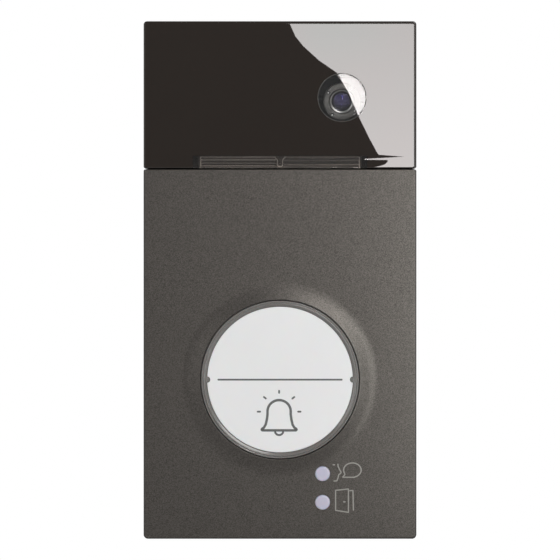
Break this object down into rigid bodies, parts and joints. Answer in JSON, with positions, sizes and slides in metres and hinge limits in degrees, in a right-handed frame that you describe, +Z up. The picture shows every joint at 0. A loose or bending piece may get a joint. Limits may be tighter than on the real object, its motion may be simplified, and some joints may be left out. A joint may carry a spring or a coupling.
{
  "type": "video doorbell",
  "caption": "Wall-mounted video entry panel with a smoked camera window over a dark metal cover, a round white call button and small status lights.",
  "frame": {"origin": "centre of the wall plate's back face, on the wall", "axes": "+Z up, +X to the right seen from the front, +Y into the wall; the front faces -Y"},
  "size_m": [0.0936, 0.028, 0.1774],
  "materials": {
    "window_smoked": "smoked gloss polycarbonate",
    "cover_metal": "fine metallic matt lacquer on die-cast zinc",
    "lens_window_clear": "polished clear polycarbonate",
    "mask_black": "matt black",
    "louvre_plastic": "satin",
    "housing_plastic": "spark-eroded texture",
    "chassis_plastic": "satin",
    "ring_plastic": "frosted grey polycarbonate",
    "disc_white": "satin white",
    "carrier_white": "satin",
    "guide_clear": "clear acrylic",
    "pipe_milky": "milky lavender polycarbonate",
    "steel_zinc": "zinc plated",
    "screw_steel": "zinc plated",
    "spring_steel": "bright drawn",
    "foam_grey": "closed cell foam",
    "rubber_black": "matt",
    "silicone_grey": "matt",
    "board_green": "solder mask on glass epoxy",
    "connector_ivory": "satin",
    "terminal_green": "satin",
    "socket_black": "satin",
    "chip_black": "moulded epoxy",
    "can_metal": "tin plated",
    "coil_ferrite": "sintered",
    "cap_sleeve": "sleeved",
    "led_body": "moulded resin",
    "camera_black": "matt black",
    "bezel_grey": "satin grey",
    "lens_glass": "coated glass",
    "flex_amber": "polyimide film",
    "speaker_steel": "black",
    "speaker_paper": "treated cone",
    "magnet_nickel": "nickel plated",
    "mic_can": "plated",
    "tape_black": "foam tape",
    "plunger_red": "satin"
  },
  "bodies": {
    "panel": {"wall_plate": "steel_zinc", "wall_seal": "foam_grey", "rear_housing": "housing_plastic", "cable_grommet": "rubber_black", "housing_seal": "silicone_grey", "housing_screws": "screw_steel", "security_screw": "screw_steel", "main_board": "board_green", "board_screws": "screw_steel", "terminal_block": "terminal_green", "terminal_screws": "screw_steel", "jumper_socket": "socket_black", "capacitors": "cap_sleeve", "power_coil": "coil_ferrite", "processor": "chip_black", "shield_can": "can_metal", "board_connector": "connector_ivory", "front_chassis": "chassis_plastic", "front_screws": "screw_steel", "front_cover": "cover_metal", "camera_window": "window_smoked", "window_tape": "tape_black", "camera_fascia": "mask_black", "sound_guide": "louvre_plastic", "lens_window": "lens_window_clear", "camera_bracket": "chassis_plastic", "bracket_screws": "screw_steel", "camera_flex": "flex_amber", "flex_connector": "connector_ivory", "speaker_basket": "speaker_steel", "speaker_cone": "speaker_paper", "speaker_magnet": "magnet_nickel", "speaker_gasket": "foam_grey", "microphone": "mic_can", "microphone_boot": "rubber_black", "button_board": "board_green", "button_board_screws": "screw_steel", "switch_bodies": "socket_black", "backlight_leds": "led_body", "indicator_leds": "led_body", "return_springs": "spring_steel", "button_seal": "silicone_grey", "talk_light_pipe": "pipe_milky", "door_light_pipe": "pipe_milky"},
    "call_button": {"button_carrier": "carrier_white", "light_guide": "guide_clear", "button_ring": "ring_plastic", "name_disc": "disc_white"},
    "upper_switch": {"upper_plunger": "plunger_red"},
    "lower_switch": {"lower_plunger": "plunger_red"},
    "camera": {"camera_body": "camera_black", "sensor_board": "board_green", "lens_barrel": "camera_black", "front_lens": "lens_glass", "camera_bezel": "bezel_grey", "bezel_leds": "led_body"}
  },
  "joints": [
    {"name": "call_button_press", "type": "slide", "parent": "panel", "child": "call_button", "axis": [0, 1, 0], "range_m": [0, 0.001], "stiffness_N_per_m": 2800, "springref_m": -0.0004, "deforming": ["return_springs", "button_seal"]},
    {"name": "upper_switch_press", "type": "slide", "parent": "panel", "child": "upper_switch", "axis": [0, 1, 0], "range_m": [0, 0.001]},
    {"name": "lower_switch_press", "type": "slide", "parent": "panel", "child": "lower_switch", "axis": [0, 1, 0], "range_m": [0, 0.001]},
    {"name": "camera_tilt", "type": "hinge", "parent": "panel", "child": "camera", "pos_m": [0.0212, -0.0147, 0.0625], "axis": [1, 0, 0], "range_deg": [-19, 6], "deforming": ["camera_flex"]}
  ],
  "couplings": [
    {"joint": "upper_switch_press", "follows": "call_button_press", "ratio": 1},
    {"joint": "lower_switch_press", "follows": "call_button_press", "ratio": 1}
  ]
}
